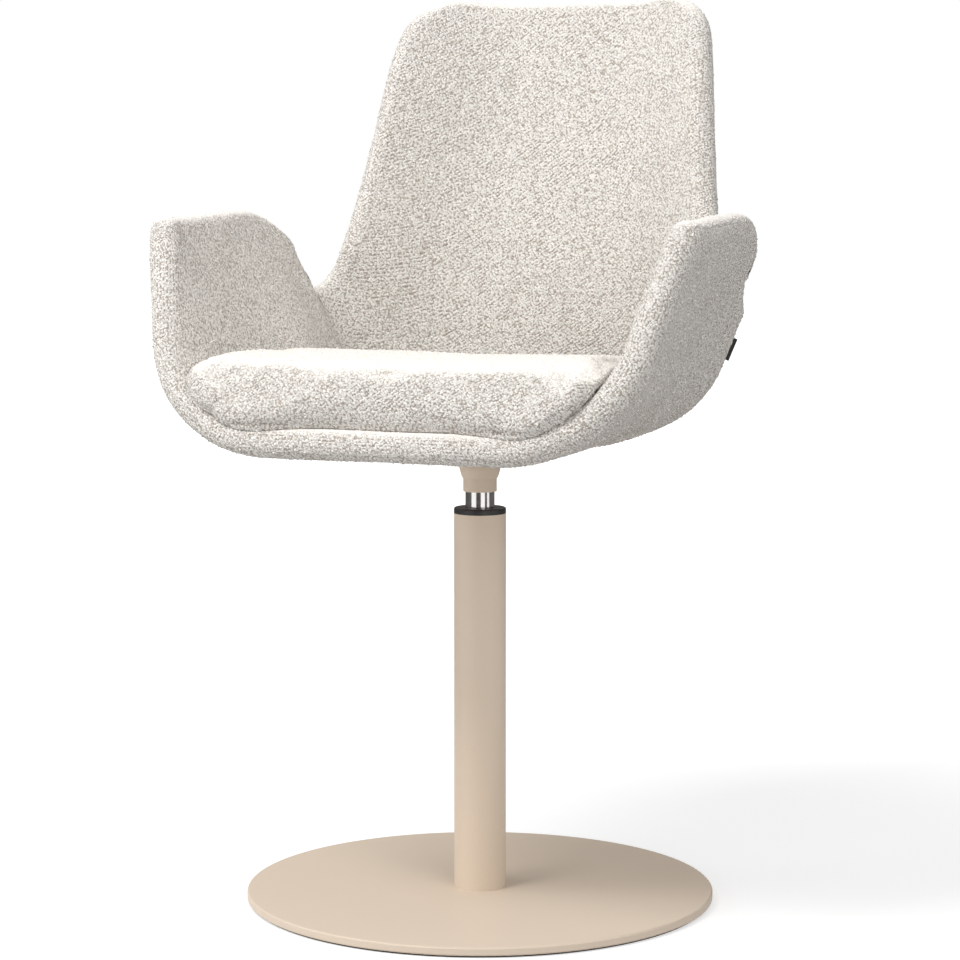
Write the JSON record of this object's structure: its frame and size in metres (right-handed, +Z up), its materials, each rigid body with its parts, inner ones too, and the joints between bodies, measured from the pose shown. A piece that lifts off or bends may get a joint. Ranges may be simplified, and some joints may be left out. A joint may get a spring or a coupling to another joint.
{
  "type": "pedestal swivel armchair",
  "caption": "Upholstered bucket armchair with a loose seat cushion that swivels on a round column over a flat disc base.",
  "frame": {"origin": "on the floor, on the column's axis", "axes": "+Z up the column's axis, -Y the way the chair faces, +X to the sitter's left"},
  "size_m": [0.5338, 0.5155, 0.8719],
  "materials": {
    "painted_steel": "beige powder coat, fine satin grain",
    "bright_steel": "bright plated",
    "bearing_steel": "ground",
    "zinc_steel": "bright zinc",
    "cage_plastic": "natural moulded",
    "bush_plastic": "black, semi-gloss",
    "pad_rubber": "matt sheet",
    "moulded_wood": "bare moulded plywood",
    "upholstery_foam": "open foam",
    "boucle": "off-white looped boucle weave",
    "tab_textile": "black woven tape, bare"
  },
  "bodies": {
    "base": {"floor_pad": "pad_rubber", "base_plate": "painted_steel", "column_tube": "painted_steel", "column_foot": "bearing_steel", "base_bolt": "zinc_steel", "base_dowel": "zinc_steel", "guide_bush": "bush_plastic", "bearing_seat": "bearing_steel", "thrust_race_lower": "bearing_steel"},
    "cage": {"bearing_balls": "bearing_steel", "bearing_cage": "cage_plastic"},
    "seat": {"hub_collar": "painted_steel", "hub_socket": "painted_steel", "seat_plate": "painted_steel", "spindle": "bright_steel", "thrust_race_upper": "bearing_steel", "tail_washer": "zinc_steel", "retaining_clip": "zinc_steel", "seat_bolts": "zinc_steel", "seat_washers": "zinc_steel", "seat_spacers": "zinc_steel", "tee_nuts": "zinc_steel", "shell_core": "moulded_wood", "shell_foam": "upholstery_foam", "cushion_foam": "upholstery_foam", "cover_inside": "boucle", "cover_outside": "boucle", "cushion_cover": "boucle", "label_tab": "tab_textile"}
  },
  "joints": [
    {"name": "swivel", "type": "hinge", "parent": "base", "child": "seat", "pos_m": [0, 0, 0.2], "axis": [0, 0, 1], "continuous": true},
    {"name": "cage_turn", "type": "hinge", "parent": "base", "child": "cage", "pos_m": [0, 0, 0.2], "axis": [0, 0, 1], "continuous": true}
  ],
  "couplings": [
    {"joint": "cage_turn", "follows": "swivel", "ratio": 0.5}
  ]
}
